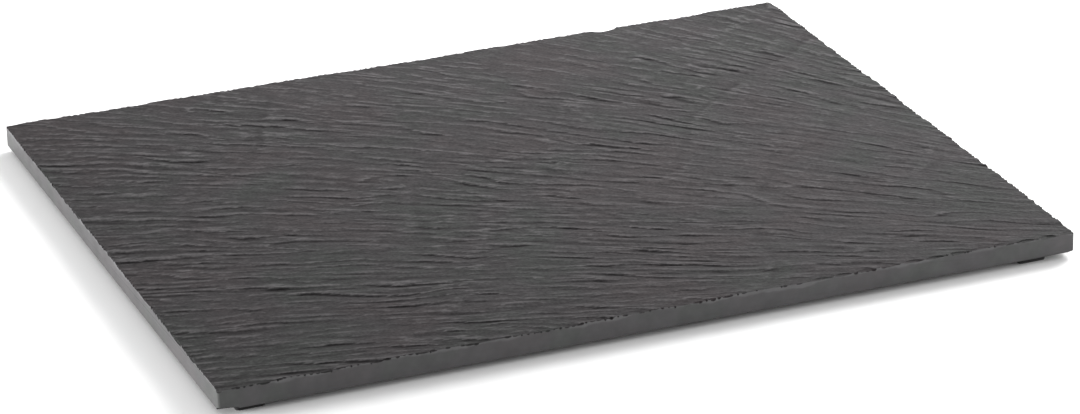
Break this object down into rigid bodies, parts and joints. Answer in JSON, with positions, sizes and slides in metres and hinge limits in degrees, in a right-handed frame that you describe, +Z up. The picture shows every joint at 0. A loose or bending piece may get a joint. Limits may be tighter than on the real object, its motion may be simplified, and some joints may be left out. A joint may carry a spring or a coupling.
{
  "type": "slate slab",
  "caption": "Flat rectangular riven slate serving slab with sawn edges and a ridged, fan-grained top, on small square rubber feet.",
  "frame": {"origin": "on the table, under the middle of the slab", "axes": "+X along the slab's length towards the picture's right, +Y along its width towards the back, +Z up"},
  "size_m": [0.325, 0.265, 0.0107],
  "materials": {
    "slate": "riven top, sawn edges, matt with a faint mineral sheen",
    "rubber": "moulded, matt"
  },
  "bodies": {
    "root": {"slab": "slate", "foot_front_left": "rubber", "foot_front_right": "rubber", "foot_back_right": "rubber", "foot_back_left": "rubber"}
  },
  "joints": []
}
